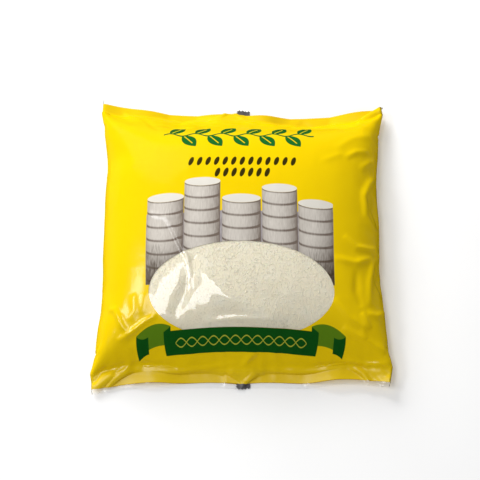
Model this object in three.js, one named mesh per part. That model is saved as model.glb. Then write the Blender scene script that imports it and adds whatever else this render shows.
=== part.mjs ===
// A sealed pillow bag of grated cheese, lying on its back as it was put down.
// One tube of film is welded flat across both ends, and a lap seal runs down its back. What it holds
// blows it up into a pillow: the film can bend but hardly stretch, so its middle draws in, its four
// corners stay out as ears, and soft folds run in from the seals and the sides.
// The shape is found as the real one is, from the flat tube and the volume it holds, by letting a net
// of points settle until every edge has its flat length.
// Millimetres, +Z up. X runs across the bag, Y from its lower seal to its upper one, and the bag rests
// on Z = 0 with the origin under its middle.
import * as THREE from "three";

// Driving dimensions
const FLAT_WIDTH = 160;
const FLAT_LENGTH = 180;
const END_SEAL = 10;
const HELD_VOLUME = 480e3;
const FIN_THICKNESS = 0.5;
const LAP_WIDTH = 11;
const LAP_THICKNESS = 0.6;
const LAP_STEP = 0.4;
const LAP_OFFSET = 4;

// How far each ear's tip was bent from where the film settles by itself: to the right, up along the
// bag, and off the floor
const EARS = [
  { side: -1, end: 1, bent: [-0.5, 1, 8] },
  { side: 1, end: 1, bent: [1.2, 1.8, 2.5] },
  { side: -1, end: -1, bent: [0.5, 1, 1] },
  { side: 1, end: -1, bent: [-1.6, 4.5, 5] },
];
const EAR_REACH = 50;

// Where the seals are waved: how far across the bag, and how much higher or lower there
const WAVES = [
  { end: 1, at: -69, lift: -3.5 },
  { end: 1, at: -35, lift: -2 },
  { end: 1, at: -15, lift: 3 },
  { end: 1, at: 12, lift: 4.5 },
  { end: 1, at: 41, lift: -2.5 },
  { end: 1, at: 66, lift: 2.5 },
  { end: -1, at: -46, lift: 2.5 },
  { end: -1, at: 48, lift: 3 },
];
const WAVE_WIDTH = 11;
const WAVE_REACH = 26;

// The upper seal is bowed out a little
const BOW = { at: -30, width: 60, outward: 1.3 };

// Where the sides are drawn in: how far along the bag, over what reach, and how far in
const NIPS = [
  { side: -1, at: 48, reach: 14, inward: 1.6 },
  { side: -1, at: 0, reach: 40, inward: 0.9 },
  { side: -1, at: -38, reach: 18, inward: 1.6 },
  { side: 1, at: 36, reach: 26, inward: 1.8 },
  { side: 1, at: -22, reach: 30, inward: 2.2 },
];
const NIP_FROM = 20;

// The net: points round the tube, which start at its left edge and cross the front first, and rows
const COLUMNS = 88;
const ROWS = 50;
const HALF = COLUMNS / 2;
const COLUMN_STEP = (2 * FLAT_WIDTH) / COLUMNS;
const ROW_STEP = FLAT_LENGTH / ROWS;
const SEAL_ROWS = Math.round(END_SEAL / ROW_STEP);
const LAP_FROM = (1.5 * FLAT_WIDTH + LAP_OFFSET - LAP_WIDTH / 2) / COLUMN_STEP;
const LAP_TO = (1.5 * FLAT_WIDTH + LAP_OFFSET + LAP_WIDTH / 2) / COLUMN_STEP;

// How it settles
const STEPS = 320;
const PASSES = 6;
const SPEED_KEPT = 0.9;
const SAG_PER_STEP = 0.02;
const SQUEEZE_SHARE = 0.5;
const SHEAR_SHARE = 0.6;
const BEND_SHARE = 0.15;
const FIN_BEND_SHARE = 0.9;
const FILL_SHARE = 0.5;
const LOAD_HEIGHT = 30;
const LOAD_SHARE = 0.6;
const SLACK_LENGTH = 30;
const GRIP = 0.3;

const X = 0;
const Y = 1;
const Z = 2;

function index(column, row) {
  return 3 * (row * COLUMNS + ((column + COLUMNS) % COLUMNS));
}

// Where a point of the net lies on the flat tube.
function flatPlace(column, row) {
  const along = column * COLUMN_STEP;
  const x = along <= FLAT_WIDTH ? along - FLAT_WIDTH / 2 : 1.5 * FLAT_WIDTH - along;
  return [x, row * ROW_STEP - FLAT_LENGTH / 2];
}

// Where it starts: the flat tube, parted a little so that it can fill.
function startPoint(column, row) {
  const [x, y] = flatPlace(column, row);
  const front = column <= HALF;
  const across = Math.max(0, 1 - ((2 * x) / FLAT_WIDTH) ** 2);
  const lengthwise = Math.max(0, 1 - ((2 * y) / (FLAT_LENGTH - 2 * END_SEAL)) ** 2);
  const parted = 14 * across ** 0.5 * lengthwise ** 0.6;
  return [0.96 * x, 0.98 * y, 14 + (front ? parted : -parted)];
}

// Moves two points along their line towards their flat distance: by the full amount if they are
// too far apart, and by a share of it if they are too close, because film buckles but doesn't stretch.
function pull(points, i, j, rest, farShare, nearShare) {
  const dx = points[j] - points[i];
  const dy = points[j + Y] - points[i + Y];
  const dz = points[j + Z] - points[i + Z];
  const length = Math.sqrt(dx * dx + dy * dy + dz * dz) + 1e-12;
  const move = ((length > rest ? farShare : nearShare) * 0.5 * (length - rest)) / length;
  points[i] += dx * move;
  points[i + Y] += dy * move;
  points[i + Z] += dz * move;
  points[j] -= dx * move;
  points[j + Y] -= dy * move;
  points[j + Z] -= dz * move;
}

// Every edge of one kind, in two turns so that no point is in two edges of the same turn. The welded
// seals can have a share of their own, because they are stiffer.
function pullEdges(points, columnSpan, rowSpan, farShare, nearShare, sealShare = nearShare) {
  const rest = Math.hypot(columnSpan * COLUMN_STEP, rowSpan * ROW_STEP);
  const span = Math.max(Math.abs(columnSpan), rowSpan);
  for (let turn = 0; turn < 2; turn += 1) {
    for (let row = 0; row <= ROWS - rowSpan; row += 1) {
      const inSeal = row < SEAL_ROWS || row + rowSpan > ROWS - SEAL_ROWS;
      for (let column = 0; column < COLUMNS; column += 1) {
        const count = columnSpan === 0 ? row : column;
        if (Math.floor(count / span) % 2 !== turn) continue;
        const near = inSeal ? sealShare : nearShare;
        const other = index(column + columnSpan, row + rowSpan);
        pull(points, index(column, row), other, rest, farShare, near);
      }
    }
  }
}

// The triangles of the bag between its seals, with the two ways of halving a cell in turn.
const netTriangles = [];
for (let row = SEAL_ROWS; row < ROWS - SEAL_ROWS; row += 1) {
  for (let column = 0; column < COLUMNS; column += 1) {
    const a = index(column, row);
    const b = index(column + 1, row);
    const c = index(column + 1, row + 1);
    const d = index(column, row + 1);
    if ((row + column) % 2) netTriangles.push([a, b, c], [a, c, d]);
    else netTriangles.push([a, b, d], [b, c, d]);
  }
}

// How hard the contents push at a row: fully over most of the bag, and less towards the seals, which
// they don't fill.
function rowLoad(row) {
  const fromSeal = (Math.min(row, ROWS - row) - SEAL_ROWS) * ROW_STEP;
  return THREE.MathUtils.smoothstep(fromSeal, -ROW_STEP, SLACK_LENGTH);
}

const rowLoads = Array.from({ length: ROWS + 1 }, (_, row) => rowLoad(row));

// Pushes the film out to the held volume. The contents load the lower film more than the upper.
function fill(points) {
  const push = new Float64Array(points.length);
  let volume = 0;
  for (const corners of netTriangles) {
    const [a, b, c] = corners;
    const ux = points[b] - points[a];
    const uy = points[b + Y] - points[a + Y];
    const uz = points[b + Z] - points[a + Z];
    const vx = points[c] - points[a];
    const vy = points[c + Y] - points[a + Y];
    const vz = points[c + Z] - points[a + Z];
    const nx = (uy * vz - uz * vy) / 6;
    const ny = (uz * vx - ux * vz) / 6;
    const nz = (ux * vy - uy * vx) / 6;
    volume += points[a] * nx + points[a + Y] * ny + points[a + Z] * nz;
    const height = (points[a + Z] + points[b + Z] + points[c + Z]) / 3;
    const load = (1 + LOAD_SHARE * (1 - height / LOAD_HEIGHT)) * rowLoads[Math.floor(a / 3 / COLUMNS)];
    for (const corner of corners) {
      push[corner] += nx * load;
      push[corner + Y] += ny * load;
      push[corner + Z] += nz * load;
    }
  }
  const norm = push.reduce((sum, value) => sum + value * value, 0);
  const share = (FILL_SHARE * (HELD_VOLUME - volume)) / norm;
  for (let i = 0; i < points.length; i += 1) points[i] += share * push[i];
}

// Front and back are one in the end seals.
function weld(points) {
  for (let row = 0; row <= ROWS; row += 1) {
    if (row > SEAL_ROWS && row < ROWS - SEAL_ROWS) continue;
    for (let column = 1; column < HALF; column += 1) {
      const i = index(column, row);
      const j = index(COLUMNS - column, row);
      for (const axis of [X, Y, Z]) {
        const middle = (points[i + axis] + points[j + axis]) / 2;
        points[i + axis] = middle;
        points[j + axis] = middle;
      }
    }
  }
}

// The floor stops the film and grips it a little. The lap seal keeps the film over it off the floor.
function rest(points, before) {
  for (let row = 0; row <= ROWS; row += 1) {
    for (let column = 0; column < COLUMNS; column += 1) {
      const i = index(column, row);
      const least = column >= LAP_FROM && column <= LAP_TO ? LAP_THICKNESS : 0;
      if (points[i + Z] >= least) continue;
      points[i + Z] = least;
      for (const axis of [X, Y]) points[i + axis] += GRIP * (before[i + axis] - points[i + axis]);
    }
  }
}

function settledFilm() {
  const points = new Float64Array(3 * COLUMNS * (ROWS + 1));
  for (let row = 0; row <= ROWS; row += 1) {
    for (let column = 0; column < COLUMNS; column += 1) {
      points.set(startPoint(column, row), index(column, row));
    }
  }
  let before = points.slice();
  for (let step = 0; step < STEPS; step += 1) {
    const now = points.slice();
    for (let i = 0; i < points.length; i += 1) {
      points[i] += SPEED_KEPT * (now[i] - before[i]) - (i % 3 === Z ? SAG_PER_STEP : 0);
    }
    before = now;
    for (let pass = 0; pass < PASSES; pass += 1) {
      pullEdges(points, 1, 0, 1, SQUEEZE_SHARE);
      pullEdges(points, 0, 1, 1, SQUEEZE_SHARE);
      pullEdges(points, 1, 1, SHEAR_SHARE, SHEAR_SHARE * SQUEEZE_SHARE);
      pullEdges(points, -1, 1, SHEAR_SHARE, SHEAR_SHARE * SQUEEZE_SHARE);
      pullEdges(points, 2, 0, 0, BEND_SHARE, FIN_BEND_SHARE);
      pullEdges(points, 0, 2, 0, BEND_SHARE, FIN_BEND_SHARE);
      fill(points);
      weld(points);
      rest(points, before);
    }
  }
  return points;
}

// 1 at a middle, fading to both sides
function bell(value, middle, reach) {
  return Math.exp(-(((value - middle) / reach) ** 2));
}

// Draws in the sides, bows and waves the seals and bends the ears, no lower than the floor. All of it
// fades out along the film.
function bendFilm(points) {
  for (let row = 0; row <= ROWS; row += 1) {
    for (let column = 0; column < COLUMNS; column += 1) {
      const [x, y] = flatPlace(column, row);
      const point = index(column, row);
      for (const { side, at, reach, inward } of NIPS) {
        const across = THREE.MathUtils.smoothstep(side * x, NIP_FROM, FLAT_WIDTH / 2);
        points[point + X] -= side * inward * across * bell(y, at, reach);
      }
      const nearTop = 1 - THREE.MathUtils.smoothstep(FLAT_LENGTH / 2 - y, 0, WAVE_REACH);
      points[point + Y] += BOW.outward * nearTop * bell(x, BOW.at, BOW.width);
      for (const { end, at, lift } of WAVES) {
        const along = Math.abs(y - (end * FLAT_LENGTH) / 2);
        const near = 1 - THREE.MathUtils.smoothstep(along, 0, WAVE_REACH);
        points[point + Z] += lift * near * bell(x, at, WAVE_WIDTH);
      }
      for (const { side, end, bent } of EARS) {
        const away = Math.hypot(x - (side * FLAT_WIDTH) / 2, y - (end * FLAT_LENGTH) / 2);
        const share = 1 - THREE.MathUtils.smoothstep(away, 0, EAR_REACH);
        for (const axis of [X, Y, Z]) points[point + axis] += share * bent[axis];
      }
      points[point + Z] = Math.max(0, points[point + Z]);
    }
  }
}

// The outward direction of the film at each point of the net, from its four neighbours.
function outward(points, column, row) {
  const at = (c, r) => new THREE.Vector3().fromArray(points, index(c, r));
  const round = at(column + 1, row).sub(at(column - 1, row));
  const up = at(column, Math.min(row + 1, ROWS)).sub(at(column, Math.max(row - 1, 0)));
  return round.cross(up).normalize();
}

// The columns to draw: the net's own, and two more at each edge of the lap seal, so that it has a step.
// Each is a place round the tube in net columns, with how far its film stands out.
function drawnColumns() {
  const step = LAP_STEP / COLUMN_STEP;
  const places = [LAP_FROM - step, LAP_FROM, LAP_TO, LAP_TO + step];
  for (let column = 0; column < COLUMNS; column += 1) {
    if (places.every((place) => Math.abs(place - column) > step)) places.push(column);
  }
  return places
    .sort((a, b) => a - b)
    .map((place) => ({ place, lap: place >= LAP_FROM && place <= LAP_TO ? LAP_THICKNESS : 0 }));
}

// The film's outer face as one closed surface: rows of drawn columns, with the front and the back
// joined across the cut edge at both ends.
function bagGeometry() {
  const film = settledFilm();
  bendFilm(film);
  const columns = drawnColumns();
  const positions = [];
  for (let row = 0; row <= ROWS; row += 1) {
    for (const { place, lap } of columns) {
      const column = Math.floor(place);
      const share = place - column;
      const here = new THREE.Vector3().fromArray(film, index(column, row));
      const next = new THREE.Vector3().fromArray(film, index(column + 1, row));
      const out = outward(film, column, row).lerp(outward(film, column + 1, row), share).normalize();
      const point = here.lerp(next, share).addScaledVector(out, FIN_THICKNESS / 2 + lap);
      positions.push(point.x, point.y, Math.max(0, point.z + FIN_THICKNESS / 2));
    }
  }
  const count = columns.length;
  const triangles = [];
  for (let row = 0; row < ROWS; row += 1) {
    for (let i = 0; i < count; i += 1) {
      const a = row * count + i;
      const b = row * count + ((i + 1) % count);
      triangles.push(a, b, b + count, a, b + count, a + count);
    }
  }
  for (const row of [0, ROWS]) {
    // The cut edge: a zip of triangles from the left fold to the right one, front row against back row.
    let front = 0;
    let back = count - 1;
    while (back - front > 1) {
      const frontNext = columns[front + 1].place <= COLUMNS - columns[back - 1].place;
      const corners = [front, frontNext ? front + 1 : back - 1, back].map((i) => row * count + i);
      triangles.push(...(row === 0 ? corners.reverse() : corners));
      if (frontNext) front += 1;
      else back -= 1;
    }
  }
  const geometry = new THREE.BufferGeometry();
  geometry.setAttribute("position", new THREE.Float32BufferAttribute(positions, 3));
  geometry.setIndex(triangles);
  geometry.computeBoundingBox();
  const middle = geometry.boundingBox.getCenter(new THREE.Vector3());
  geometry.translate(-middle.x, -middle.y, 0);
  geometry.computeVertexNormals();
  return geometry;
}

const filmYellow = new THREE.MeshStandardMaterial({ color: 0xf7d60a, roughness: 0.3, metalness: 0 });
const bag = new THREE.Mesh(bagGeometry(), filmYellow);
bag.name = "bag";

const pack = new THREE.Group();
pack.add(bag);

export default pack;
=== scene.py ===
# A sealed pillow bag of grated cheese, dressed for the render. The film is settled again here from the
# same flat tube as the solid, on a finer net, so that it has the real film's wrinkles. It is printed
# all over but for an oval window, through which the grated cheese shows.
# Sizes are in millimetres until a mesh is made, with the solid's axes: X across, Y along, Z up.
import math

import bpy
import numpy as np
from mathutils import Matrix, Vector


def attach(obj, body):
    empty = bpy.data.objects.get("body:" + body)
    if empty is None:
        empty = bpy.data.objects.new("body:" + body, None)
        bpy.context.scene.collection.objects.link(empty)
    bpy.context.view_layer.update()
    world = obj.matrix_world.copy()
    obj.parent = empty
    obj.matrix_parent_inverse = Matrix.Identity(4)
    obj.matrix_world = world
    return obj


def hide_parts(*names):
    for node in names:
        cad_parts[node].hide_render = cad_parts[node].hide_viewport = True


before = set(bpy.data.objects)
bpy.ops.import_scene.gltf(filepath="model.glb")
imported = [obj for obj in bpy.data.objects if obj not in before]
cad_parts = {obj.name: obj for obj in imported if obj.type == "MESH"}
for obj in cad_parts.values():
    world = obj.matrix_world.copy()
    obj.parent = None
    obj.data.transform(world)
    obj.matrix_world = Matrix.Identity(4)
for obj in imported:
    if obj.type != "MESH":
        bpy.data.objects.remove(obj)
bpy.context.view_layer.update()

MM = 0.001
TINY = 1e-12

# The flat tube and what it holds, as in the solid
FLAT_WIDTH = 160.0
FLAT_LENGTH = 180.0
END_SEAL = 10.0
HELD_VOLUME = 480e3
FIN_THICKNESS = 0.5
LAP_WIDTH = 11.0
LAP_THICKNESS = 0.6
LAP_OFFSET = 4.0
LAP_MIDDLE = 1.5 * FLAT_WIDTH + LAP_OFFSET
# How far the lap seal's edge runs past its width, and how wide the slope down from it is
LAP_EDGE = 0.5
LAP_SLOPE = 0.9
# Bent corners, as (side, end, how far each way), and the seals' waves, as (end, how far across, lift)
EARS = [(-1, 1, (-0.5, 1, 8)), (1, 1, (1.2, 1.8, 2.5)), (-1, -1, (0.5, 1, 1)), (1, -1, (-1.6, 4.5, 5))]
EAR_REACH = 50.0
WAVES = [
    (1, -69, -3.5), (1, -35, -2), (1, -15, 3), (1, 12, 4.5), (1, 41, -2.5), (1, 66, 2.5),
    (-1, -46, 2.5), (-1, 48, 3),
]
WAVE_WIDTH = 11.0
WAVE_REACH = 26.0
# Where the upper seal is bowed out, over what width, and how far
BOW = (-30.0, 60.0, 1.3)
# Where the sides are drawn in: (side, how far along, over what reach, how far in)
NIPS = [(-1, 48, 14, 1.6), (-1, 0, 40, 0.9), (-1, -38, 18, 1.6), (1, 36, 26, 1.8), (1, -22, 30, 2.2)]
NIP_FROM = 20.0

# The net and how it settles: the solid's own, and then twice as fine two times
COLUMNS = 88
ROWS = 50
SETTLING = [(320, 6), (30, 5), (16, 4)]
SPEED_KEPT = 0.9
SAG_PER_STEP = 0.02
SQUEEZE_SHARE = 0.5
SHEAR_SHARE = 0.6
BEND_SHARE = 0.15
FIN_BEND_SHARE = 0.9
FILL_SHARE = 0.5
LOAD_HEIGHT = 30.0
LOAD_SHARE = 0.6
SLACK_LENGTH = 30.0
GRIP = 0.3
# The tube is first parted to this half height, a little narrower and shorter than flat, and the parting
# rounds off across and along by these powers.
START_HEIGHT = 14.0
START_SHARES = (0.96, 0.98)
START_POWERS = (0.5, 0.6)

# The film's ends and its window, in flat millimetres from the middle of the front
FINE_ROW_STEP = FLAT_LENGTH / (4 * ROWS)
CLEAR_ROWS = 3
ZIGZAG_DEPTH = 0.35
EYE_MARK = (-3.1, 4.3)
WINDOW_MIDDLE = (-0.6, -37.5)
WINDOW_RADII = (47.2, 25.3)
RIBBON_MIDDLE = -0.7
RIBBON_HALF = 38.5
RIBBON_TOP = (-56.0, -1.9)
RIBBON_FOOT = (-69.6, -1.9)

# Creases and folds in the film, drawn one by one: (height, width, points). Heights are outward.
CREASES = [
    # Lower left, beside the ribbon's end
    (1.1, 1.5, [(-71, -45), (-66, -45.5), (-63.5, -50), (-62, -54), (-59, -58)]),
    (0.5, 1.9, [(-56, -38), (-55, -47), (-57.5, -52)]),
    (0.4, 2.4, [(-50.5, -38), (-51, -49)]),
    (1.2, 1.4, [(-64.5, -62.5), (-56.5, -57.5), (-49.5, -52.5), (-43.5, -49.5)]),
    (-0.6, 1.8, [(-62, -66), (-55, -61), (-50, -57.5)]),
    # Along the lower seal
    (0.8, 4.0, [(-77, -82), (-40, -82.5), (0, -81.5), (40, -82.5), (77, -82)]),
    (-0.8, 2.0, [(-79, -79.5), (-72, -78), (-63, -76), (-49, -76.5), (-30, -77.5)]),
    (0.7, 1.5, [(-63, -78.5), (-50, -81), (-39, -80.5), (-17, -78.3), (-1, -74.8)]),
    (0.8, 1.6, [(-1, -78), (3, -73.5), (8, -69)]),
    (0.6, 1.5, [(8, -79), (22, -80), (34, -80), (55, -81)]),
    (-0.7, 1.8, [(20, -77), (40, -77.5), (60, -79), (79, -80)]),
    # The right side
    (1.3, 2.0, [(79, 40), (70, 29), (66, 20.5), (66.5, 9), (73, 2.5)]),
    (-1.0, 2.6, [(75, 24), (73, 14), (79, 5)]),
    (0.8, 1.7, [(70, 50), (62, 47), (55, 41)]),
    (0.7, 1.8, [(79, 47), (71, 44), (64, 36)]),
    (1.0, 1.7, [(53, -6), (60, -11.5), (69, -10.5), (78, -7)]),
    (1.0, 1.9, [(47, -19.5), (59.5, -20.5), (72, -14)]),
    (1.2, 2.0, [(77, -12), (71, -18), (67.5, -29), (66, -43)]),
    (-0.9, 2.2, [(60, -24), (59, -36), (61, -44)]),
    (-0.9, 2.0, [(79, -20), (74, -28), (79, -36)]),
    (1.1, 2.0, [(46.5, -41), (54.5, -50), (61, -55), (63.5, -62)]),
    (1.0, 1.5, [(61, -47), (65.5, -56)]),
    (0.9, 1.7, [(79, -43), (70, -48), (64, -47)]),
    (1.0, 2.0, [(51, -55), (63, -62), (75, -70.5)]),
    (0.8, 1.6, [(54.5, -75), (66, -78), (78, -77)]),
    # The top
    (-0.7, 2.5, [(33, 85), (41, 78), (48, 70)]),
    (0.5, 2.2, [(50, 46), (60, 56), (74, 62)]),
    (0.4, 2.0, [(42, 37), (56, 45)]),
    (-0.5, 2.2, [(-60, 84), (-52, 74), (-48, 64)]),
    # From the picture down into the window
    (1.1, 1.2, [(-39.5, 3.5), (-35.5, -4), (-31, -14), (-27.5, -21), (-26, -29), (-26, -38)]),
    (0.6, 1.3, [(-48, 5.5), (-42, 2.5), (-35, 1)]),
    (-1.0, 3.2, [(-24, -20), (-27, -34), (-35, -51)]),
    (1.5, 6.5, [(-26, -24), (-8, -39), (4, -48), (22, -55)]),
    (0.6, 1.4, [(-21, -53.5), (-6, -51.8), (10, -51.8), (17, -52.3)]),
]
CREASE_FADE = 0.6
# Finer crinkles, as (size across, size along, depth), stronger near the seals and the sides
CRINKLES = [(7.0, 22.0, 0.22), (11.0, 9.0, 0.2), (4.0, 7.0, 0.08)]
CRINKLE_LEAST = 0.25
CRINKLE_SEAL_REACH = 30.0
CRINKLE_SIDE_REACH = 26.0
CRINKLE_SIDE_SHARE = 0.8
CRINKLE_FADE_END = 2.0
# Away from the sides, creases leave the back of the film at least this far under its front.
SIDE_COLUMNS = 8
FACE_GAP = 0.08

# The cheese under the window: a core with relief, as (size, depth), and loose grains on it. The core's
# gap is measured from the film's outer face, and a grain's clearance from there to its own top.
CORE_GAP = 0.22
CHEESE_MARGIN = 6.0
CHEESE_DEPTH = 8.0
CHEESE_MOST_SHARE = 0.7
CHEESE_STEP = 0.45
CHEESE_RELIEF = [(9.0, 0.04), (3.1, 0.03), (1.3, 0.03)]
NOISE_CELLS = 128
GRAINS = 8000
GRAIN_SEED = 7
GRAIN_MARGIN = 1.0
GRAIN_CLEARANCE = (0.03, 0.08)
GRAIN_TILT = 0.15
GRAIN_LENGTHS = (0.2, 0.42)
GRAIN_WIDTH_SHARES = (0.55, 0.9)
GRAIN_HEIGHTS = (0.05, 0.1)
GRAIN_UNEVENNESS = 0.25

# The studio
FLOOR_SIZE = 6000.0
FLOOR_GLOW = 0.19
FLOOR_ROUGHNESS = 0.85
FLOOR_DARK = (248, 248, 248)
FLOOR_LIGHT = (251, 251, 251)
FLOOR_MOTTLE = 40.0
# The floor is a little lower, so that clear film that lies on it doesn't share its plane.
FLOOR_DROP = 0.1
SKY = 0.25
# (name, place, width and height, power, whether it shows in the film)
LAMPS = [
    ("key_lamp", (-400, 820, 505), (500, 500), 9.2, False),
    ("overhead_lamp", (-255, -100, 900), (210, 540), 1.9, True),
    ("side_lamp", (-594, 60, 654), (170, 340), 1.5, True),
]
IMAGE_SIDE = 480
CAMERA_ANGLES = (63.92, -1.09, 1.29)
CAMERA_DISTANCE = 700.63
CAMERA_TARGET_HEIGHT = 12.0
CAMERA_LENS = 97.4
CAMERA_SENSOR = 36.0
CAMERA_NEAR = 10.0
CAMERA_SHIFT = (3.09, 5.66)


def smoothstep(x, low, high):
    share = np.clip((x - low) / (high - low), 0, 1)
    return share * share * (3 - 2 * share)


def bell(x, middle, reach):
    """1 at the middle, fading to both sides."""
    return np.exp(-(((x - middle) / reach) ** 2))


def unit(vectors):
    return vectors / np.maximum(np.linalg.norm(vectors, axis=-1, keepdims=True), TINY)


class Net:
    """The film as rows of points round the tube. Points start at the left fold and cross the front first."""

    def __init__(self, columns, rows):
        self.columns = columns
        self.rows = rows
        self.half = columns // 2
        self.column_step = 2 * FLAT_WIDTH / columns
        self.row_step = FLAT_LENGTH / rows
        self.seal_rows = round(END_SEAL / self.row_step)
        self.around = np.arange(columns) * self.column_step
        folded = np.where(self.around <= FLAT_WIDTH, self.around, 2 * FLAT_WIDTH - self.around)
        along = np.arange(rows + 1) * self.row_step - FLAT_LENGTH / 2
        self.flat_x, self.flat_y = np.meshgrid(folded - FLAT_WIDTH / 2, along)
        shear = (SHEAR_SHARE, SHEAR_SHARE * SQUEEZE_SHARE, SHEAR_SHARE * SQUEEZE_SHARE)
        self.links = [
            *self.edges(1, 0, 1, SQUEEZE_SHARE, SQUEEZE_SHARE),
            *self.edges(0, 1, 1, SQUEEZE_SHARE, SQUEEZE_SHARE),
            *self.edges(1, 1, *shear),
            *self.edges(-1, 1, *shear),
            *self.edges(2, 0, 0, BEND_SHARE, FIN_BEND_SHARE),
            *self.edges(0, 2, 0, BEND_SHARE, FIN_BEND_SHARE),
        ]
        self.triangles = self.pillow_triangles()
        row = self.triangles[:, 0] // columns
        from_seal = (np.minimum(row, rows - row) - self.seal_rows) * self.row_step
        self.loads = smoothstep(from_seal, -self.row_step, SLACK_LENGTH)
        row = np.arange(rows + 1)
        self.welded = row[(row <= self.seal_rows) | (row >= rows - self.seal_rows)]
        self.floor = np.where(np.abs(self.around - LAP_MIDDLE) <= LAP_WIDTH / 2, LAP_THICKNESS, 0.0)

    def edges(self, column_span, row_span, far, near, near_in_seal):
        """Every edge of one kind, in two turns so that no point is in two edges of the same turn."""
        rest = math.hypot(column_span * self.column_step, row_span * self.row_step)
        span = max(abs(column_span), row_span)
        rows, columns = np.indices((self.rows - row_span + 1, self.columns))
        count = rows if column_span == 0 else columns
        for turn in (0, 1):
            picked = (count // span) % 2 == turn
            row, column = rows[picked], columns[picked]
            one = row * self.columns + column
            other = (row + row_span) * self.columns + (column + column_span) % self.columns
            in_seal = (row < self.seal_rows) | (row + row_span > self.rows - self.seal_rows)
            yield one, other, rest, far, np.where(in_seal, near_in_seal, near)[:, None]

    def pillow_triangles(self):
        """The bag between its seals, with the two ways of halving a cell in turn."""
        row, column = np.indices((self.rows - 2 * self.seal_rows, self.columns))
        row += self.seal_rows
        a = row * self.columns + column
        b = row * self.columns + (column + 1) % self.columns
        c = b + self.columns
        d = a + self.columns
        odd = ((row + column) % 2 == 1)[..., None]
        first = np.where(odd, np.stack([a, b, c], -1), np.stack([a, b, d], -1))
        second = np.where(odd, np.stack([a, c, d], -1), np.stack([b, c, d], -1))
        return np.stack([first, second], 2).reshape(-1, 3)

    def start(self):
        """The flat tube, parted a little so that it can fill."""
        across = np.maximum(0, 1 - (2 * self.flat_x / FLAT_WIDTH) ** 2)
        lengthwise = np.maximum(0, 1 - (2 * self.flat_y / (FLAT_LENGTH - 2 * END_SEAL)) ** 2)
        parted = START_HEIGHT * across ** START_POWERS[0] * lengthwise ** START_POWERS[1]
        side = np.where(np.arange(self.columns) <= self.half, 1, -1)
        x, y = START_SHARES[0] * self.flat_x, START_SHARES[1] * self.flat_y
        return np.stack([x, y, START_HEIGHT + side * parted], -1).reshape(-1, 3)

    def pull(self, points):
        """Moves each edge towards its flat length. Film buckles but doesn't stretch, so an edge that is
        too long moves more than one that is too short."""
        for one, other, rest, far, near in self.links:
            start = points[one]
            gap = points[other] - start
            length = np.sqrt((gap * gap).sum(1, keepdims=True)) + TINY
            gap *= np.where(length > rest, far, near) * 0.5 * (length - rest) / length
            points[one] = start + gap
            points[other] -= gap

    def fill(self, points):
        """Pushes the film out to the held volume. The contents load the lower film more."""
        a, b, c = (points[self.triangles[:, corner]] for corner in range(3))
        push = np.cross(b - a, c - a) / 6
        volume = (a * push).sum()
        height = (a[:, 2] + b[:, 2] + c[:, 2]) / 3
        push *= ((1 + LOAD_SHARE * (1 - height / LOAD_HEIGHT)) * self.loads)[:, None]
        corners = self.triangles.ravel()
        pushes = np.stack(
            [np.bincount(corners, np.repeat(push[:, axis], 3), len(points)) for axis in range(3)], -1
        )
        points += pushes * (FILL_SHARE * (HELD_VOLUME - volume) / (pushes * pushes).sum())

    def weld(self, points):
        """Front and back are one in the end seals."""
        grid = points.reshape(self.rows + 1, self.columns, 3)
        front = slice(1, self.half)
        back = slice(self.columns - 1, self.half, -1)
        middle = (grid[self.welded, front] + grid[self.welded, back]) / 2
        grid[self.welded, front] = middle
        grid[self.welded, back] = middle

    def lie(self, points, before):
        """The floor stops the film and grips it a little."""
        grid = points.reshape(self.rows + 1, self.columns, 3)
        low = grid[..., 2] < self.floor
        moved = grid[..., :2] + GRIP * (before.reshape(grid.shape)[..., :2] - grid[..., :2])
        grid[..., :2] = np.where(low[..., None], moved, grid[..., :2])
        grid[..., 2] = np.where(low, self.floor, grid[..., 2])

    def settle(self, points, steps, passes):
        before = points.copy()
        for _ in range(steps):
            now = points.copy()
            points += SPEED_KEPT * (now - before)
            points[:, 2] -= SAG_PER_STEP
            before = now
            for _ in range(passes):
                self.pull(points)
                self.fill(points)
                self.weld(points)
                self.lie(points, before)
        return points

    def finer(self, points):
        """A net twice as fine each way. Each new point is on a smooth curve through its four nearest old
        ones, which gives the inner two 9 sixteenths and the outer two minus 1."""
        grid = points.reshape(self.rows + 1, self.columns, 3)
        before, here, after, last = (np.roll(grid, shift, 1) for shift in (1, 0, -1, -2))
        wide = np.empty((self.rows + 1, 2 * self.columns, 3))
        wide[:, 0::2] = grid
        wide[:, 1::2] = (9 * (here + after) - before - last) / 16
        ends = np.concatenate([2 * wide[:1] - wide[1:2], wide, 2 * wide[-1:] - wide[-2:-1]])
        fine = np.empty((2 * self.rows + 1, 2 * self.columns, 3))
        fine[0::2] = wide
        fine[1::2] = (9 * (ends[1:-2] + ends[2:-1]) - ends[:-3] - ends[3:]) / 16
        return Net(2 * self.columns, 2 * self.rows), fine.reshape(-1, 3)

    def bend(self, points):
        """Draws in the sides, bows and waves the seals and bends the ears, as on the solid."""
        grid = points.reshape(self.rows + 1, self.columns, 3)
        for side, at, reach, inward in NIPS:
            across = smoothstep(side * self.flat_x, NIP_FROM, FLAT_WIDTH / 2)
            grid[..., 0] -= side * inward * across * bell(self.flat_y, at, reach)
        at, width, out = BOW
        near_top = 1 - smoothstep(FLAT_LENGTH / 2 - self.flat_y, 0, WAVE_REACH)
        grid[..., 1] += out * near_top * bell(self.flat_x, at, width)
        for end, at, lift in WAVES:
            near = 1 - smoothstep(np.abs(self.flat_y - end * FLAT_LENGTH / 2), 0, WAVE_REACH)
            grid[..., 2] += lift * near * bell(self.flat_x, at, WAVE_WIDTH)
        for side, end, bent in EARS:
            away = np.hypot(self.flat_x - side * FLAT_WIDTH / 2, self.flat_y - end * FLAT_LENGTH / 2)
            grid += (1 - smoothstep(away, 0, EAR_REACH))[..., None] * np.array(bent)
        grid[..., 2] = np.maximum(0, grid[..., 2])

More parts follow.
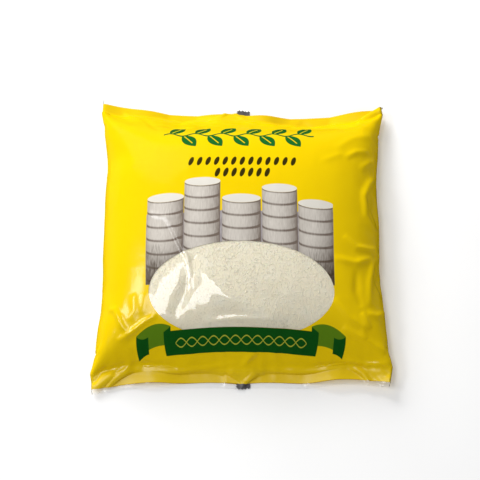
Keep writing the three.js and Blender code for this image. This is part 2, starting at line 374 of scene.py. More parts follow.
    def outward(self, grid):
        """The outward direction of the film at each point, from its four neighbours."""
        round_tube = np.roll(grid, -1, 1) - np.roll(grid, 1, 1)
        ends = np.concatenate([grid[:1], grid, grid[-1:]])
        return unit(np.cross(round_tube, ends[2:] - ends[:-2]))


def settled_film():
    net = Net(COLUMNS, ROWS)
    points = net.start()
    for level, (steps, passes) in enumerate(SETTLING):
        if level:
            net, points = net.finer(points)
        points = net.settle(points, steps, passes)
    net.bend(points)
    return net, points.reshape(net.rows + 1, net.columns, 3)


def value_noise(places, size, seed):
    """Smooth noise from -1 to 1 on flat places, with features of about size millimetres."""
    table = np.random.default_rng(seed).uniform(-1, 1, (NOISE_CELLS, NOISE_CELLS))
    low = np.floor(places / size).astype(int)
    share = places / size - low
    share = share * share * (3 - 2 * share)
    a, b = low[..., 0] % NOISE_CELLS, low[..., 1] % NOISE_CELLS
    a_next, b_next = (a + 1) % NOISE_CELLS, (b + 1) % NOISE_CELLS
    near = table[a, b] + (table[a, b_next] - table[a, b]) * share[..., 1]
    far = table[a_next, b] + (table[a_next, b_next] - table[a_next, b]) * share[..., 1]
    return near + (far - near) * share[..., 0]


def crease(places, height, width, points):
    """A ridge or a groove along a line of flat places, deepest at its middle and fading to both ends."""
    points = np.array(points, float)
    lengths = np.linalg.norm(np.diff(points, axis=0), axis=1)
    nearest = np.full(places.shape[:-1], np.inf)
    along = np.zeros(places.shape[:-1])
    for start, end, length, before in zip(points, points[1:], lengths, np.cumsum(lengths) - lengths):
        share = np.clip(((places - start) @ (end - start)) / length**2, 0, 1)
        away = np.linalg.norm(places - start - share[..., None] * (end - start), axis=-1)
        closer = away < nearest
        nearest = np.where(closer, away, nearest)
        along = np.where(closer, (before + share * length) / lengths.sum(), along)
    fade = np.clip(4 * along * (1 - along), 0, 1) ** CREASE_FADE
    return height * fade * np.exp(-((nearest / width) ** 2))


def creased(net, surface):
    """The film's face with its creases and crinkles."""
    round_tube = np.broadcast_to(net.around - FLAT_WIDTH / 2, net.flat_y.shape)
    places = np.stack([round_tube, net.flat_y], -1)
    relief = sum(crease(places, *line) for line in CREASES)
    from_seal = FLAT_LENGTH / 2 - END_SEAL - np.abs(net.flat_y)
    from_side = FLAT_WIDTH / 2 - np.abs(net.flat_x)
    near_seal = 1 - smoothstep(from_seal, 0, CRINKLE_SEAL_REACH)
    near_side = CRINKLE_SIDE_SHARE * (1 - smoothstep(from_side, 0, CRINKLE_SIDE_REACH))
    strength = CRINKLE_LEAST + (1 - CRINKLE_LEAST) * np.maximum(near_seal, near_side)
    strength = strength * smoothstep(from_seal, -END_SEAL, CRINKLE_FADE_END)
    for seed, (across, along, depth) in enumerate(CRINKLES):
        noise = value_noise(places / [across, along], 1.0, seed)
        relief = relief + depth * strength * (1 - 2 * np.abs(noise))
    moved = surface + net.outward(surface) * relief[..., None]
    moved[..., 2] = np.maximum(0, moved[..., 2])
    # Where creases would make the two faces cross, the back is kept under the front.
    inner = np.arange(SIDE_COLUMNS, net.half - SIDE_COLUMNS + 1)
    moved[:, -inner, 2] = np.minimum(moved[:, -inner, 2], moved[:, inner, 2] - FACE_GAP)
    return moved


def film_surface(net, film):
    """The film's outer face: the net's points moved out by half the seals' thickness, and more over the
    lap seal. The whole is set on the floor and over its middle, as the solid is."""
    out = net.outward(film)
    into_lap = LAP_WIDTH / 2 + LAP_EDGE - np.abs(net.around - LAP_MIDDLE)
    lap = smoothstep(into_lap, 0, LAP_SLOPE) * LAP_THICKNESS
    surface = film + out * (FIN_THICKNESS / 2 + lap)[None, :, None]
    surface[..., 2] = np.maximum(0, surface[..., 2] + FIN_THICKNESS / 2)
    middle = (surface.reshape(-1, 3).min(0) + surface.reshape(-1, 3).max(0)) / 2
    surface[..., :2] -= middle[:2]
    return surface


def mesh_object(name, points, faces, material, normals=None, places=None):
    """A mesh from points in millimetres. places are flat millimetres for each face corner."""
    mesh = bpy.data.meshes.new(name)
    mesh.from_pydata((points * MM).tolist(), [], [tuple(face) for face in faces])
    mesh.update()
    mesh.shade_smooth()
    if places is not None:
        for layer_name in ("flat", "OFBake"):
            layer = mesh.uv_layers.new(name=layer_name, do_init=False)
            share = places / np.array([2 * FLAT_WIDTH, FLAT_LENGTH])
            layer.uv.foreach_set("vector", share.astype(np.float32).ravel())
    if normals is not None:
        mesh.normals_split_custom_set_from_vertices(normals.tolist())
    mesh.materials.append(material)
    thing = bpy.data.objects.new(name, mesh)
    bpy.context.scene.collection.objects.link(thing)
    return thing


def dressed(thing):
    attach(thing, "root")
    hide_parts("bag")


# Cutting the film into pieces


def shared_triangles(net):
    """The whole film as triangles, and the flat place of each of their corners."""
    row, column = np.indices((net.rows, net.columns))
    step = np.array([[0, 0], [0, 1], [1, 1], [1, 0]])
    corner_row = row[..., None] + step[:, 0]
    corner_column = column[..., None] + step[:, 1]
    index = corner_row * net.columns + corner_column % net.columns
    place = np.stack([corner_column * net.column_step, corner_row * net.row_step], -1)
    halves = ([0, 1, 2], [0, 2, 3])
    triangles = np.stack([index[..., half] for half in halves], 2).reshape(-1, 3)
    places = np.stack([place[..., half, :] for half in halves], 2).reshape(-1, 3, 2)
    return triangles, places


def window_field(places):
    """Below zero in the window, which is an oval that the ribbon's upper edge cuts off below."""
    x = places[..., 0] - FLAT_WIDTH / 2
    y = places[..., 1] - FLAT_LENGTH / 2
    oval = np.hypot((x - WINDOW_MIDDLE[0]) / WINDOW_RADII[0], (y - WINDOW_MIDDLE[1]) / WINDOW_RADII[1]) - 1
    ribbon = (RIBBON_TOP[0] + RIBBON_TOP[1] * (x / RIBBON_HALF) ** 2 - y) / WINDOW_RADII[1]
    return np.maximum(oval, ribbon)


def cut(points, normals, triangles, places, field):
    """Cuts each triangle that crosses the field's zero line along it. Returns the points, normals,
    triangles and places with the new ones added, and which triangles are inside, where it is below 0."""
    values = field(places)
    inside = (values < 0).sum(1)
    crossed = (inside == 1) | (inside == 2)
    new_points, new_normals, made = [], [], {}
    cut_triangles, cut_places, cut_inside = [], [], []
    for triangle, place, value in zip(triangles[crossed], places[crossed], values[crossed]):
        # The corner that is alone on its side comes first.
        below = value < 0
        alone = int(np.argmax(below if below.sum() == 1 else ~below))
        order = [alone, (alone + 1) % 3, (alone + 2) % 3]
        a, b, c = triangle[order]
        at, values_at = place[order], value[order]
        crossing, crossing_at = [], []
        for other, k in ((b, 1), (c, 2)):
            share = values_at[0] / (values_at[0] - values_at[k])
            key = (min(a, other), max(a, other))
            if key not in made:
                made[key] = len(points) + len(new_points)
                new_points.append(points[a] + share * (points[other] - points[a]))
                new_normals.append(normals[a] + share * (normals[other] - normals[a]))
            crossing.append(made[key])
            crossing_at.append(at[0] + share * (at[k] - at[0]))
        (ab, ac), (at_ab, at_ac) = crossing, crossing_at
        cut_triangles += [(a, ab, ac), (ab, b, c), (ab, c, ac)]
        cut_places += [(at[0], at_ab, at_ac), (at_ab, at[1], at[2]), (at_ab, at[2], at_ac)]
        cut_inside += [below[alone], not below[alone], not below[alone]]
    return (
        np.concatenate([points, new_points]),
        unit(np.concatenate([normals, new_normals])),
        np.concatenate([triangles[~crossed], cut_triangles]),
        np.concatenate([places[~crossed], cut_places]),
        np.concatenate([inside[~crossed] == 3, cut_inside]),
    )


def piece_of(name, points, normals, triangles, places, material, slot):
    """A piece of the film: the given triangles, with only the points that they use."""
    used, index = np.unique(triangles, return_inverse=True)
    faces = index.reshape(-1, 3)
    thing = mesh_object(name, points[used], faces, material, normals[used], places.reshape(-1, 2))
    thing.visible_shadow = slot != "clear_film"
    dressed(thing)


# Materials

# How far a printed edge runs out on each side, where nothing else is said
SOFT = 0.12


class Value:
    """A number in a material's nodes, so that a pattern can be written as a formula."""

    def __init__(self, tree, socket):
        self.tree = tree
        self.socket = socket

    def math(self, operation, *values, clamp=False):
        node = self.tree.nodes.new("ShaderNodeMath")
        node.operation = operation
        node.use_clamp = clamp
        for socket, value in zip(node.inputs, values):
            if isinstance(value, Value):
                self.tree.links.new(value.socket, socket)
            else:
                socket.default_value = value
        return Value(self.tree, node.outputs[0])

    def __add__(self, other):
        return self.math("ADD", self, other)

    def __sub__(self, other):
        return self.math("SUBTRACT", self, other)

    def __rsub__(self, other):
        return self.math("SUBTRACT", other, self)

    def __mul__(self, other):
        return self.math("MULTIPLY", self, other)

    def __truediv__(self, other):
        return self.math("DIVIDE", self, other)

    def __abs__(self):
        return self.math("ABSOLUTE", self)

    def root(self):
        return self.math("SQRT", self.math("MAXIMUM", self, 0.0))

    def sine(self):
        return self.math("SINE", self)

    def least(self, other):
        return self.math("MINIMUM", self, other)

    def most(self, other):
        return self.math("MAXIMUM", self, other)

    def fraction(self):
        return self.math("FRACT", self)

    def below(self, edge, soft=SOFT):
        """1 where this is below edge, with a change that is soft wide on each side."""
        if isinstance(edge, Value):
            return (self - edge).below(0.0, soft)
        return self.math("MULTIPLY_ADD", self, -0.5 / soft, edge * 0.5 / soft + 0.5, clamp=True)

    def above(self, edge, soft=SOFT):
        return 1 - self.below(edge, soft)

    def between(self, low, high, soft=SOFT):
        return self.above(low, soft) * self.below(high, soft)


def linear(red, green, blue):
    """A colour given in 0 to 255 as on a screen, for a shader."""
    shares = [channel / 255 for channel in (red, green, blue)]
    return [s / 12.92 if s <= 0.04045 else ((s + 0.055) / 1.055) ** 2.4 for s in shares] + [1.0]


class Sheet:
    """A material under construction, with the film's flat place as its coordinates."""

    def __init__(self, name):
        self.material = bpy.data.materials.new(name)
        self.material.use_nodes = True
        self.tree = self.material.node_tree
        self.tree.nodes.clear()
        self.output = self.tree.nodes.new("ShaderNodeOutputMaterial")

    def node(self, kind, **settings):
        node = self.tree.nodes.new(kind)
        for key, value in settings.items():
            setattr(node, key, value)
        return node

    def link(self, source, target):
        self.tree.links.new(source, target)

    def flat_place(self):
        """Millimetres across and along the film from the middle of the front. The back starts at 80."""
        node = self.node("ShaderNodeUVMap", uv_map="flat")
        parts = self.node("ShaderNodeSeparateXYZ")
        self.link(node.outputs["UV"], parts.inputs[0])
        across = Value(self.tree, parts.outputs[0]) * (2 * FLAT_WIDTH) - FLAT_WIDTH / 2
        along = Value(self.tree, parts.outputs[1]) * FLAT_LENGTH - FLAT_LENGTH / 2
        return across, along

    def noise(self, size, across=None, along=None, detail=2.0):
        """Noise with features of about size millimetres, on flat places or on the object itself."""
        node = self.node("ShaderNodeTexNoise")
        node.inputs["Detail"].default_value = detail
        if across is None:
            place = self.node("ShaderNodeTexCoord").outputs["Object"]
            node.inputs["Scale"].default_value = 1 / (size * MM)
        else:
            joined = self.node("ShaderNodeCombineXYZ")
            self.link(across.socket, joined.inputs[0])
            self.link(along.socket, joined.inputs[1])
            place = joined.outputs[0]
            node.inputs["Scale"].default_value = 1 / size
        self.link(place, node.inputs["Vector"])
        return Value(self.tree, node.outputs["Fac"])

    def feed(self, target, value):
        """Gives a socket a pattern, a colour of 0 to 255 numbers, another socket or a number."""
        if isinstance(value, Value):
            self.link(value.socket, target)
        elif isinstance(value, bpy.types.NodeSocket):
            self.link(value, target)
        else:
            target.default_value = linear(*value) if isinstance(value, tuple) else value

    def mix(self, mask, under, over):
        """over where mask is 1, under where it is 0."""
        node = self.node("ShaderNodeMix", data_type="RGBA")
        self.feed(node.inputs["Factor"], mask)
        colour_sockets = [socket for socket in node.inputs if socket.type == "RGBA"]
        for socket, value in zip(colour_sockets, (under, over)):
            self.feed(socket, value)
        return next(socket for socket in node.outputs if socket.type == "RGBA")

    def bump(self, height, distance):
        node = self.node("ShaderNodeBump")
        node.inputs["Strength"].default_value = BUMP_STRENGTH
        node.inputs["Distance"].default_value = distance * MM
        self.link(height.socket, node.inputs["Height"])
        return node.outputs["Normal"]

    def principled(self, colour, roughness, normal=None, **settings):
        node = self.node("ShaderNodeBsdfPrincipled")
        self.feed(node.inputs["Base Color"], colour)
        self.feed(node.inputs["Roughness"], roughness)
        if normal:
            self.link(normal, node.inputs["Normal"])
        for key, value in settings.items():
            node.inputs[key].default_value = value
        self.link(node.outputs[0], self.output.inputs["Surface"])


# Colours of the print and the cheese are 0 to 255 as on a screen. Bumps are (size, depth).
BUMP_STRENGTH = 0.5
FILM_TINT = (0.99, 0.99, 0.985, 1.0)
FILM_ROUGHNESS = 0.06
FILM_BUMP = (4.0, 0.1)
FILM_REFLECTION = 0.06
STRIP_REFLECTION = 0.03
GRAZING_POWER = 5.0
PRINT_BUMP = (3.0, 0.12)
PRINT_ROUGHNESS = 0.18
SEAL_ROUGHNESS = 0.14
SEAL_SOFT = 2.0
INK_SIZE = 14.0
INK_SHARE = 0.35
INK_RANGE = (0.3, 0.9, 0.2)
YELLOW = (252, 212, 0)
YELLOW_LIGHT = (255, 221, 0)
DARK_GREEN = (16, 86, 22)
OLIVE_GREEN = (98, 138, 22)
LEAF_GREEN = (28, 108, 42)
INK = (58, 50, 14)
FLOURISH = (186, 190, 60)
RIND_LIGHT = (224, 217, 207)
RIND_DARK = (120, 107, 97)
CUT_FACE = (236, 231, 220)
BEHIND = (158, 150, 152)
BEHIND_LIGHT = (186, 180, 182)
SHADE = (72, 56, 38)
EYE_GREY = (92, 90, 92)
CHEESE_LIGHT = (255, 249, 229)
CHEESE_DARK = (255, 245, 219)
CHEESE_PATCH_SIZE = 6.0
CHEESE_PATCH_RANGE = (0.35, 0.9, 0.2)
CHEESE_PATCH_SHARE = 0.8
CHEESE_BUMP = (0.9, 0.05)
CHEESE_ROUGHNESS = 0.62
CHEESE_GLOW_DEPTH = 1.5
CHEESE_GLOW_SPREAD = (1.0, 0.8, 0.5)
CORE_GLOW_SHARE = 0.15
GRAIN_LIGHT = (255, 251, 235)

# The print's motifs, in flat millimetres from the middle of the front
GARLAND_SPAN = (-43.0, 39.0)
GARLAND_HEIGHT = 57.5
GARLAND_PERIOD = 14.0
STEM_SWING = 1.5
STEM_HALF = 0.7
# Each row of leaves: above or below the stem, its shift in periods, and from where to where it runs
LEAF_ROWS = [(1, 0.0, (-43.0, 42.0)), (-1, 0.5, (-37.5, 34.0))]
LEAF_ROOM = 3.0
LEAF_LEAN = (0.6, 0.8)
LEAF_MIDDLE = 7.2
LEAF_HALF_LENGTH = 6.4
LEAF_HALF_WIDTH = 3.7
VEIN_HALF = 0.3
VEIN_END = 0.5
SHARP = 0.02
# Rows of seeds: (height, half length, period)
SEED_ROWS = [(35.7, 29.0, 4.46), (28.1, 15.0, 4.29)]
SEED_SLANT = 0.25
SEED_HALF_WIDTH = 1.25
SEED_HALF_HEIGHT = 2.9
SEED_SOFT = 0.15
PICTURE_SPAN = (-49.4, 46.9)
PICTURE_FOOT = -34.2
# Stacks of wheels: (middle, half width, top)
STACKS = [(-39.5, 9.6, 13.5), (-20.5, 9.2, 22.5), (-0.5, 9.8, 12.0), (19.0, 9.0, 18.5), (38.0, 9.6, 10.0)]
WHEEL_HEIGHT = 7.4
WHEEL_SEEN_TOP = 2.6
# How much a wheel's side is lit by its bulge, by how far right it is and by its hatching
WHEEL_LIGHT = (0.75, -0.28, 0.55)
WHEEL_DIM = 0.18
# A joint's shadow shows up to the first share of a wheel's height and past the second.
JOINT = (0.09, 0.93)
JOINT_SOFT = 0.05
JOINT_DARK = 0.7
HATCH_SIZE = 1.5
HATCH_STRETCH = (2.2, 0.35)
HATCH_DETAIL = 3.0
SHELF_MOTTLE = 9.0
SHELF_TOP = 1.0
SHELF_SWING = 7.0
SHELF_HATCH = 0.52
# The shade at the foot of the picture: from what height, over what reach, and how it varies
SHADE_FROM = -10.0
SHADE_REACH = 22.0
SHADE_ASIDE = 60.0
SHADE_HATCH = 1.6
SHADE_LEVEL = 1.55
SHADE_MOST = 0.9
RIBBON_CORNER = 35.9
TAIL_INNER = 47.6
TAIL_OUTER = 54.0
# The ends bulge: past what edge, at what height, and how fast they draw in from there
TAIL_END = (TAIL_OUTER, -65.0, 0.0105)
BAND_END = (RIBBON_HALF + 1.1, -60.0, 0.0075)
# Bowed edges of the ribbon: (height, slope, from how far aside, curve)
BAND_TOP = (RIBBON_TOP[0], 0, 0, RIBBON_TOP[1] / RIBBON_HALF**2)
BAND_FOOT = (RIBBON_FOOT[0], 0, 0, RIBBON_FOOT[1] / RIBBON_HALF**2)
BAND_CORNER = (-55.4, -0.753, RIBBON_CORNER, 0)
FOLD_TOP = (-53.9, 0, 41.5, -0.0427)
FOLD_FOOT = (-65.2, 0, 39, -0.035)
TAIL_TOP = (-61.7, 0, 50.7, 0.12)
TAIL_FOOT = (-70.5, -0.25, TAIL_INNER, -0.1)
BRAID_LENGTH = 5.6
BRAID_SWING = 2.4
BRAID_HALF = 0.34
BRAID_LOOPS = 6


def paint_garland(sheet, colour, x, y):
    """A wavy stem with a leaf in each of its bends, by turns above and below it."""
    phase = (x - GARLAND_SPAN[0]) / GARLAND_PERIOD
    height = y - GARLAND_HEIGHT
    stem = abs(height - (phase * (2 * math.pi)).sine() * STEM_SWING).below(STEM_HALF)
    mask = stem * x.between(*GARLAND_SPAN)
    for side, shift, span in LEAF_ROWS:
        # Each leaf leans from its foot on the stem: along is its own length, across its own width.
        cell = (phase + shift).fraction() * GARLAND_PERIOD - LEAF_ROOM
        rise = height * side
        along = cell * LEAF_LEAN[0] + rise * LEAF_LEAN[1]
        across = cell * LEAF_LEAN[1] - rise * LEAF_LEAN[0]
        middle = (along - LEAF_MIDDLE) / LEAF_HALF_LENGTH
        edge = (1 - middle * middle) * LEAF_HALF_WIDTH
        vein = abs(across).above(VEIN_HALF).most(middle.above(VEIN_END, SHARP))
        leaf = (abs(across) - edge).below(0.0) * vein
        mask = mask.most(leaf * x.between(*span))
    return sheet.mix(mask, colour, LEAF_GREEN)


def paint_seeds(sheet, colour, x, y):
    """Two rows of small slanted seeds."""
    for height, half, period in SEED_ROWS:
        cell = ((x + half) / period).fraction() * period - period / 2
        dx = (cell - (y - height) * SEED_SLANT) / SEED_HALF_WIDTH
        dy = (y - height) / SEED_HALF_HEIGHT
        seed = (dx * dx + dy * dy).below(1.0, SEED_SOFT)
        colour = sheet.mix(seed * abs(x).below(half), colour, INK)
    return colour


def paint_picture(sheet, colour, x, y):
    """Stacks of cheese wheels in grey-brown tones, like an old engraving, in front of a dim shelf."""
    hatching = sheet.noise(HATCH_SIZE, x * HATCH_STRETCH[0], y * HATCH_STRETCH[1], HATCH_DETAIL)
    within = x.between(*PICTURE_SPAN) * y.above(PICTURE_FOOT)
    mottled = sheet.noise(SHELF_MOTTLE, x, y)
    behind_top = mottled * SHELF_SWING + SHELF_TOP
    back = sheet.mix(hatching.above(SHELF_HATCH), BEHIND, BEHIND_LIGHT)
    colour = sheet.mix(within * (y - behind_top).below(0.0), colour, back)
    for middle, half, top in STACKS:
        dx = (x - middle) / half
        bulge = (1 - dx * dx).root()
        seen = abs(dx).below(1.0, SHARP)
        front = top - y - bulge * WHEEL_SEEN_TOP
        level = (front / WHEEL_HEIGHT).fraction()
        lit = bulge * WHEEL_LIGHT[0] + dx * WHEEL_LIGHT[1] + hatching * WHEEL_LIGHT[2] - WHEEL_DIM
        joint = level.below(JOINT[0], JOINT_SOFT) + level.above(JOINT[1], JOINT_SOFT)
        side = sheet.mix(lit - joint * JOINT_DARK, RIND_DARK, RIND_LIGHT)
        colour = sheet.mix(within * seen * front.above(0.0), colour, side)
        on_top = front.below(0.0) * (y - top - bulge * WHEEL_SEEN_TOP).below(0.0)
        colour = sheet.mix(within * seen * on_top, colour, CUT_FACE)
    low = (SHADE_FROM - y) / SHADE_REACH
    shade = hatching * SHADE_HATCH + low + abs(x) / SHADE_ASIDE - SHADE_LEVEL
    return sheet.mix(within * shade.most(0.0).least(SHADE_MOST), colour, SHADE)


def bow(side, height, slope, middle, curve):
    """A line that leaves the given height at middle with a slope, and curves."""
    away = side - middle
    return away * (away * curve + slope) + height


def bulged_end(y, edge, middle, curve):
    """The edge of a ribbon's end, which draws in above and below its middle."""
    return edge - (y - middle) * (y - middle) * curve


def paint_ribbon(sheet, colour, x, y):
    """A dark green ribbon, bowed, whose ends fold back behind it and then forward again."""
    side = abs(x - RIBBON_MIDDLE)
    in_end = side.below(bulged_end(y, *TAIL_END))
    fold = y.below(bow(side, *FOLD_TOP)) * y.above(bow(side, *FOLD_FOOT)) * in_end
    colour = sheet.mix(fold * side.above(RIBBON_CORNER), colour, OLIVE_GREEN)
    tail = y.below(bow(side, *TAIL_TOP)) * y.above(bow(side, *TAIL_FOOT)) * in_end
    colour = sheet.mix(tail * side.above(TAIL_INNER), colour, DARK_GREEN)
    top = bow(side, *BAND_TOP)
    foot = bow(side, *BAND_FOOT)
    corner = y.below(bow(side, *BAND_CORNER))
    below_top = y.below(top).most(corner * side.above(RIBBON_CORNER))
    below_corner = corner.most(side.below(RIBBON_CORNER))
    band = below_top * below_corner * y.above(foot) * side.below(bulged_end(y, *BAND_END))
    colour = sheet.mix(band, colour, DARK_GREEN)
    middle = (top + foot) / 2
    swing = ((x - RIBBON_MIDDLE) * (math.pi / BRAID_LENGTH)).sine() * BRAID_SWING
    lines = abs(y - middle - swing).below(BRAID_HALF).most(abs(y - middle + swing).below(BRAID_HALF))
    return sheet.mix(lines * side.below(BRAID_LENGTH * BRAID_LOOPS), colour, FLOURISH)


def printed_film():
    sheet = Sheet("printed film")
    x, y = sheet.flat_place()
    ink = sheet.noise(INK_SIZE, x, y, detail=3.0)
    colour = sheet.mix(ink.between(*INK_RANGE) * INK_SHARE, YELLOW, YELLOW_LIGHT)
    for paint in (paint_picture, paint_garland, paint_seeds, paint_ribbon):
        colour = paint(sheet, colour, x, y)
    # Only the eye marks of the clear rows are in this piece.
    clear_from = FLAT_LENGTH / 2 - CLEAR_ROWS * FINE_ROW_STEP
    colour = sheet.mix(abs(y).above(clear_from, SHARP), colour, EYE_GREY)
    size, depth = PRINT_BUMP
    normal = sheet.bump(sheet.noise(size, x, y, detail=3.0), depth)
    # The heat of the sealing bars leaves the seals duller.
    in_seal = abs(y).above(FLAT_LENGTH / 2 - END_SEAL, SEAL_SOFT)
    sheet.principled(colour, in_seal * SEAL_ROUGHNESS + PRINT_ROUGHNESS, normal)
    return sheet.material


def clear_film(name, reflection):
    sheet = Sheet(name)
    x, y = sheet.flat_place()
    size, depth = FILM_BUMP
    normal = sheet.bump(sheet.noise(size, x, y), depth)
    clear = sheet.node("ShaderNodeBsdfTransparent")
    clear.inputs["Color"].default_value = FILM_TINT
    gloss = sheet.node("ShaderNodeBsdfAnisotropic")
    gloss.inputs["Color"].default_value = (1, 1, 1, 1)
    gloss.inputs["Roughness"].default_value = FILM_ROUGHNESS
    sheet.link(normal, gloss.inputs["Normal"])
    # Both faces of the thin film reflect, the same way from inside as from outside.
    weight = sheet.node("ShaderNodeLayerWeight")
    weight.inputs["Blend"].default_value = 0.5
    sheet.link(normal, weight.inputs["Normal"])
    facing = Value(sheet.tree, weight.outputs["Facing"])
    share = facing.math("POWER", facing, GRAZING_POWER) * (1 - reflection) + reflection
    mix = sheet.node("ShaderNodeMixShader")
    sheet.link(share.socket, mix.inputs[0])
    sheet.link(clear.outputs[0], mix.inputs[1])
    sheet.link(gloss.outputs[0], mix.inputs[2])
    sheet.link(mix.outputs[0], sheet.output.inputs["Surface"])
    return sheet.material


def cheese_material(name, light, dark, glow_share):
    sheet = Sheet(name)
    patches = sheet.noise(CHEESE_PATCH_SIZE, detail=3.0)
    size, depth = CHEESE_BUMP
    colour = sheet.mix(patches.between(*CHEESE_PATCH_RANGE) * CHEESE_PATCH_SHARE, light, dark)
    normal = sheet.bump(sheet.noise(size), depth)
    glow = {
        "Subsurface Weight": glow_share,
        "Subsurface Scale": CHEESE_GLOW_DEPTH * MM,
        "Subsurface Radius": CHEESE_GLOW_SPREAD,
    }
    sheet.principled(colour, CHEESE_ROUGHNESS, normal, **glow)
    return sheet.material


# The cheese


def on_grid(grid, net, x, y):
    """The value of a grid over the net's front at flat places from the front's middle."""
    column = (x + FLAT_WIDTH / 2) / net.column_step
    row = (y + FLAT_LENGTH / 2) / net.row_step
    c, r = np.floor(column).astype(int), np.floor(row).astype(int)
    across, along = (column - c)[..., None], (row - r)[..., None]
    low = grid[r, c] * (1 - across) + grid[r, c + 1] * across
    high = grid[r + 1, c] * (1 - across) + grid[r + 1, c + 1] * across
    return low * (1 - along) + high * along


def cheese_core(net, surface, outward):
    """The cheese under the window and a little past it, uneven where it presses on the film."""
    across = np.arange(-WINDOW_RADII[0] - CHEESE_MARGIN, WINDOW_RADII[0] + CHEESE_MARGIN, CHEESE_STEP)
    along = np.arange(-WINDOW_RADII[1] - CHEESE_MARGIN, WINDOW_RADII[1] + CHEESE_MARGIN, CHEESE_STEP)
    x, y = np.meshgrid(across + WINDOW_MIDDLE[0], along + WINDOW_MIDDLE[1])
    places = np.stack([x, y], -1)
    relief = sum(depth * value_noise(places, size, seed) for seed, (size, depth) in enumerate(CHEESE_RELIEF))
    front = on_grid(surface, net, x, y)
    # The back of the film is on the net's last columns, which run the other way.
    back_columns = (net.columns - np.arange(net.half + 1)) % net.columns
    thickness = on_grid(surface[:, back_columns], net, x, y) - front
    top = front - on_grid(outward, net, x, y) * (CORE_GAP - relief)[..., None]
    reach = np.linalg.norm(thickness, axis=-1, keepdims=True)
    share = np.minimum(CHEESE_DEPTH / reach, CHEESE_MOST_SHARE)
    foot = front + thickness * share
    rows, count = x.shape
    index = np.arange(rows * count).reshape(rows, count)
    cells = np.stack([index[:-1, :-1], index[:-1, 1:], index[1:, 1:], index[1:, :-1]], -1).reshape(-1, 4)
    rim = np.concatenate([index[0, :-1], index[:-1, -1], index[-1, :0:-1], index[:0:-1, 0]])
    under = rows * count
    after = np.roll(rim, -1)
    sides = np.stack([rim, under + rim, under + after, after], -1)
    faces = np.concatenate([cells, under + cells[:, ::-1], sides])
    return np.concatenate([top.reshape(-1, 3), foot.reshape(-1, 3)]), faces


def grains(net, surface, outward):
    """Loose grains between the core and the film. Each has six uneven corners: two ends, two sides, top
    and foot."""
    random = np.random.default_rng(GRAIN_SEED)
    angle = random.uniform(0, 2 * math.pi, GRAINS)
    radius = np.sqrt(random.uniform(0, 1, GRAINS))
    x = WINDOW_MIDDLE[0] + (WINDOW_RADII[0] + GRAIN_MARGIN) * radius * np.cos(angle)
    y = WINDOW_MIDDLE[1] + (WINDOW_RADII[1] + GRAIN_MARGIN) * radius * np.sin(angle)
    out = unit(on_grid(outward, net, x, y))
    aside = unit(np.cross(out, np.array([0.0, 1.0, 0.0])))
    forward = np.cross(out, aside)
    turn = random.uniform(0, 2 * math.pi, GRAINS)[:, None]
    tilt = random.uniform(-GRAIN_TILT, GRAIN_TILT, GRAINS)[:, None]
    lengthwise = unit(aside * np.cos(turn) + forward * np.sin(turn) + tilt * out)
    widthwise = unit(np.cross(out, lengthwise))
    upward = np.cross(lengthwise, widthwise)
    length = random.uniform(*GRAIN_LENGTHS, GRAINS)
    width = length * random.uniform(*GRAIN_WIDTH_SHARES, GRAINS)
    height = random.uniform(*GRAIN_HEIGHTS, GRAINS)
    depth = height + random.uniform(*GRAIN_CLEARANCE, GRAINS)
    middle = on_grid(surface, net, x, y) - out * depth[:, None]
    corners = []
    for way in (1, -1):
        for direction, size in ((lengthwise, length), (widthwise, width), (upward, height)):
            reach = way * size * random.uniform(1 - GRAIN_UNEVENNESS, 1, GRAINS)
            corners.append(middle + direction * reach[:, None])
    # Corners 0 to 2 are one end, one side and the top, and 3 to 5 the ones opposite them.
    upper = [(0, 1, 2), (1, 3, 2), (3, 4, 2), (4, 0, 2)]
    lower = [(1, 0, 5), (3, 1, 5), (4, 3, 5), (0, 4, 5)]
    faces = np.arange(GRAINS)[:, None, None] * len(corners) + np.array(upper + lower)
    return np.stack(corners, 1).reshape(-1, 3), faces.reshape(-1, 3)


# Building the pieces


def zigzag(surface):
    """The seals' ends are cut in small teeth: every other point of the end rows stands further out."""
    teeth = np.where(np.arange(surface.shape[1]) % 2, -ZIGZAG_DEPTH, ZIGZAG_DEPTH)[:, None]
    for end, inner in ((0, 1), (-1, -2)):
        surface[end] += unit(surface[end] - surface[inner]) * teeth
        surface[end, :, 2] = np.maximum(0, surface[end, :, 2])


def cut_edges(net, surface):
    """The cut ends of the film: front and back joined across the seal's thickness."""
    points, normals, triangles, places = [], [], [], []
    for row, inner, way in ((0, 1, -1), (net.rows, net.rows - 1, 1)):
        first = len(points) * net.columns
        points.append(surface[row])
        normals.append(unit(surface[row] - surface[inner]))
        for c in range(net.half):
            here, after = first + c, first + c + 1
            under, under_after = first + (net.columns - c) % net.columns, first + net.columns - c - 1
            pair = [(here, after, under), (after, under_after, under)]
            if c == 0:
                pair = [(here, after, under_after)]
            if c == net.half - 1:
                pair = [(here, after, under)]
            triangles += [triangle[::way] for triangle in pair]
            places += [[(c * net.column_step, row * net.row_step)] * 3] * len(pair)
    return np.concatenate(points), np.concatenate(normals), np.array(triangles), np.array(places, float)


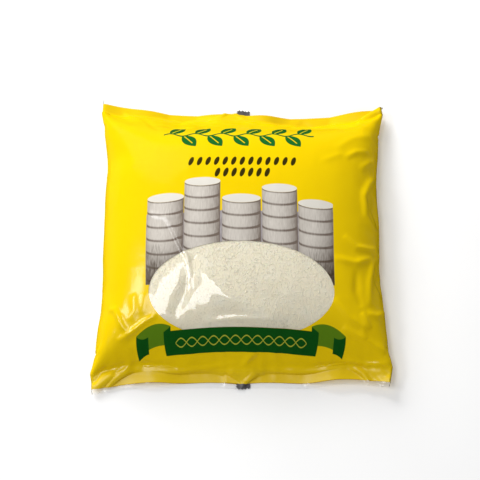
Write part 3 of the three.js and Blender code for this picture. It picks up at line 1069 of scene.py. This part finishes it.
def film_pieces():
    net, settled = settled_film()
    surface = creased(net, film_surface(net, settled))
    outward = net.outward(surface)
    zigzag(surface)
    triangles, places = shared_triangles(net)
    points, normals, triangles, places, in_window = cut(
        surface.reshape(-1, 3), outward.reshape(-1, 3), triangles, places, window_field
    )
    middle = places.mean(1) - np.array([FLAT_WIDTH, FLAT_LENGTH]) / 2
    in_strip = np.abs(middle[:, 1]) > FLAT_LENGTH / 2 - CLEAR_ROWS * net.row_step
    in_mark = in_strip & (middle[:, 0] > EYE_MARK[0]) & (middle[:, 0] < EYE_MARK[1])
    printed = ~in_window & (~in_strip | in_mark)
    strip = in_strip & ~in_mark
    film = (
        ("printed_film", printed, printed_film(), "printed_film"),
        ("window_film", in_window, clear_film("window film", FILM_REFLECTION), "clear_film"),
    )
    for name, part, material, slot in film:
        piece_of(name, points, normals, triangles[part], places[part], material, slot)
    edge_points, edge_normals, edge_triangles, edge_places = cut_edges(net, surface)
    piece_of(
        "clear_end_strips",
        np.concatenate([points, edge_points]),
        np.concatenate([normals, edge_normals]),
        np.concatenate([triangles[strip], edge_triangles + len(points)]),
        np.concatenate([places[strip], edge_places]),
        clear_film("clear end film", STRIP_REFLECTION),
        "clear_film",
    )
    return net, surface, outward


def cheese_pieces(net, surface, outward):
    core = cheese_material("cheese core", CHEESE_LIGHT, CHEESE_DARK, CORE_GLOW_SHARE)
    dressed(mesh_object("cheese_core", *cheese_core(net, surface, outward), core))
    loose = cheese_material("cheese grains", GRAIN_LIGHT, CHEESE_LIGHT, 0.0)
    dressed(mesh_object("cheese_grains", *grains(net, surface, outward), loose))


# The studio


def studio_floor():
    size = FLOOR_SIZE / 2
    corners = np.array([(-size, -size), (size, -size), (size, size), (-size, size)])
    corners = np.column_stack([corners, np.full(4, -FLOOR_DROP)])
    sheet = Sheet("studio floor")
    glow = {"Emission Color": (1, 1, 1, 1), "Emission Strength": FLOOR_GLOW}
    colour = sheet.mix(sheet.noise(FLOOR_MOTTLE), FLOOR_DARK, FLOOR_LIGHT)
    sheet.principled(colour, FLOOR_ROUGHNESS, **glow)
    floor = mesh_object("studio_floor", corners, [(0, 1, 2, 3)], sheet.material)
    floor.visible_glossy = False


def studio_light(name, place, size, power, reflected):
    """An area light at a place in millimetres that faces the pack, with its width level."""
    light = bpy.data.lights.new(name, "AREA")
    light.shape = "RECTANGLE"
    light.size, light.size_y = (side * MM for side in size)
    light.energy = power
    lamp = bpy.data.objects.new(name, light)
    bpy.context.scene.collection.objects.link(lamp)
    back = Vector(place).normalized()
    right = Vector((0, 1, 0)).cross(back).normalized()
    turned = Matrix((right, back.cross(right), back)).transposed()
    lamp.matrix_world = Matrix.Translation(Vector(place) * MM) @ turned.to_4x4()
    lamp.visible_glossy = reflected


def sky(strength):
    world = bpy.data.worlds.new("studio")
    bpy.context.scene.world = world
    world.use_nodes = True
    background = world.node_tree.nodes["Background"]
    background.inputs["Color"].default_value = (1, 1, 1, 1)
    background.inputs["Strength"].default_value = strength
    world.cycles_visibility.glossy = False


def camera():
    """The photograph's view: steeply from above the near end, turned a little to one side and rolled."""
    elevation, azimuth, roll = (math.radians(angle) for angle in CAMERA_ANGLES)
    right = Vector((math.cos(azimuth), math.sin(azimuth), 0))
    level = Vector((math.sin(azimuth), -math.cos(azimuth), 0))
    back = level * math.cos(elevation) + Vector((0, 0, math.sin(elevation)))
    up = back.cross(right)
    rolled_right = right * math.cos(roll) + up * math.sin(roll)
    rolled_up = up * math.cos(roll) - right * math.sin(roll)
    data = bpy.data.cameras.new("camera")
    data.sensor_width = CAMERA_SENSOR
    data.lens = CAMERA_LENS
    data.shift_x, data.shift_y = (-moved / IMAGE_SIDE for moved in CAMERA_SHIFT)
    data.clip_start = CAMERA_NEAR * MM
    eye = bpy.data.objects.new("camera", data)
    place = Vector((0, 0, CAMERA_TARGET_HEIGHT)) + back * CAMERA_DISTANCE
    turned = Matrix((rolled_right, rolled_up, back)).transposed()
    eye.matrix_world = Matrix.Translation(place * MM) @ turned.to_4x4()
    bpy.context.scene.collection.objects.link(eye)
    bpy.context.scene.camera = eye


camera()
sky(SKY)
studio_floor()
for lamp in LAMPS:
    studio_light(*lamp)
net, surface, outward = film_pieces()
cheese_pieces(net, surface, outward)
bpy.context.scene.view_settings.view_transform = "Standard"
